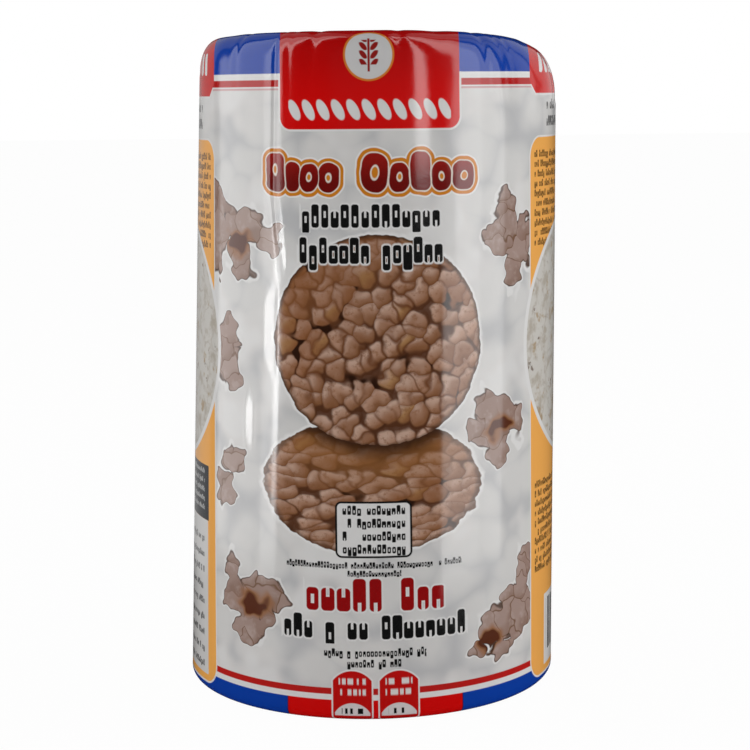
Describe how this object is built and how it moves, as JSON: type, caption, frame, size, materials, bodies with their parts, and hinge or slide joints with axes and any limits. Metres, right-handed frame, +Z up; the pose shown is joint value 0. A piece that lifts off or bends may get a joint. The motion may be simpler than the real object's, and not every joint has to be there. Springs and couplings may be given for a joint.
{
  "type": "rice cake pack",
  "caption": "Sealed cylindrical film pack of round puffed rice cakes, standing upright, with folded ends, crimped seals and a printed wall.",
  "frame": {"origin": "middle of the base, on the surface that the pack stands on", "axes": "+Z up along the stack, -Y towards the front of the print, +X to the viewer's right"},
  "size_m": [0.0982, 0.0968, 0.1679],
  "materials": {
    "film": "thin printed plastic film, glossy, with fine tension creases near the folded ends"
  },
  "bodies": {
    "root": {"pack": "film"}
  },
  "joints": []
}
